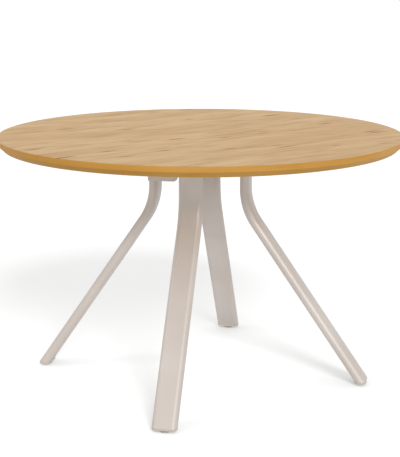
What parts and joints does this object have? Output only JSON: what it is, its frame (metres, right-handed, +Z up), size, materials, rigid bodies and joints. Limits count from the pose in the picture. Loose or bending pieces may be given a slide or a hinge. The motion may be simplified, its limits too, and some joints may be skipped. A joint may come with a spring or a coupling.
{
  "type": "round dining table",
  "caption": "Round dining table: wood-look top with a bevelled edge on splayed legs of bent flat-oval tube, bolted to a cross frame, with screw glides for levelling.",
  "frame": {"origin": "on the floor under the centre of the top", "axes": "+Z up; the legs stand on the X and Y axes, and the braced leg is on -X"},
  "size_m": [1.1998, 1.2, 0.75],
  "materials": {
    "oak_laminate": "matt light oak decor",
    "honey_lipping": "satin honey lacquer",
    "core_board": "raw particle board",
    "backing_sheet": "matt balancing laminate",
    "greige_paint": "satin powder coat",
    "zinc_steel": "zinc plated",
    "insert_brass": "turned",
    "cap_plastic": "moulded",
    "plug_plastic": "moulded, leg colour",
    "pad_plastic": "moulded"
  },
  "bodies": {
    "table": {"top_core": "core_board", "top_laminate": "oak_laminate", "top_backing": "backing_sheet", "top_lipping": "honey_lipping", "top_inserts": "insert_brass", "crossbar_long": "greige_paint", "crossbar_front": "greige_paint", "crossbar_back": "greige_paint", "centre_plate": "greige_paint", "cap_right": "cap_plastic", "cap_back": "cap_plastic", "cap_left": "cap_plastic", "cap_front": "cap_plastic", "leg_plate_right": "greige_paint", "leg_plate_back": "greige_paint", "leg_plate_left": "greige_paint", "leg_plate_front": "greige_paint", "leg_right": "greige_paint", "leg_back": "greige_paint", "leg_left": "greige_paint", "leg_front": "greige_paint", "leg_bolts": "zinc_steel", "leg_washers": "zinc_steel", "leg_nuts": "zinc_steel", "top_screws": "zinc_steel", "top_washers": "zinc_steel", "leg_bracket": "greige_paint", "bracket_screws": "zinc_steel", "plug_right": "plug_plastic", "plug_back": "plug_plastic", "plug_left": "plug_plastic", "plug_front": "plug_plastic", "plug_bushes": "insert_brass"},
    "foot_right": {"pad_right": "pad_plastic"},
    "screw_right": {"stud_right": "zinc_steel"},
    "foot_back": {"pad_back": "pad_plastic"},
    "screw_back": {"stud_back": "zinc_steel"},
    "foot_left": {"pad_left": "pad_plastic"},
    "screw_left": {"stud_left": "zinc_steel"},
    "foot_front": {"pad_front": "pad_plastic"},
    "screw_front": {"stud_front": "zinc_steel"}
  },
  "joints": [
    {"name": "glide_right_travel", "type": "slide", "parent": "table", "child": "foot_right", "axis": [0, 0, -1], "range_m": [0, 0.01]},
    {"name": "glide_right_turn", "type": "hinge", "parent": "foot_right", "child": "screw_right", "pos_m": [0.4957, 0, 0.003], "axis": [0, 0, -1], "range_deg": [0, 2880]},
    {"name": "glide_back_travel", "type": "slide", "parent": "table", "child": "foot_back", "axis": [0, 0, -1], "range_m": [0, 0.01]},
    {"name": "glide_back_turn", "type": "hinge", "parent": "foot_back", "child": "screw_back", "pos_m": [0, 0.4957, 0.003], "axis": [0, 0, -1], "range_deg": [0, 2880]},
    {"name": "glide_left_travel", "type": "slide", "parent": "table", "child": "foot_left", "axis": [0, 0, -1], "range_m": [0, 0.01]},
    {"name": "glide_left_turn", "type": "hinge", "parent": "foot_left", "child": "screw_left", "pos_m": [-0.4957, 0, 0.003], "axis": [0, 0, -1], "range_deg": [0, 2880]},
    {"name": "glide_front_travel", "type": "slide", "parent": "table", "child": "foot_front", "axis": [0, 0, -1], "range_m": [0, 0.01]},
    {"name": "glide_front_turn", "type": "hinge", "parent": "foot_front", "child": "screw_front", "pos_m": [0, -0.4957, 0.003], "axis": [0, 0, -1], "range_deg": [0, 2880]}
  ],
  "couplings": [
    {"joint": "glide_right_travel", "follows": "glide_right_turn", "m_per_rad": 0.00019894},
    {"joint": "glide_back_travel", "follows": "glide_back_turn", "m_per_rad": 0.00019894},
    {"joint": "glide_left_travel", "follows": "glide_left_turn", "m_per_rad": 0.00019894},
    {"joint": "glide_front_travel", "follows": "glide_front_turn", "m_per_rad": 0.00019894}
  ]
}
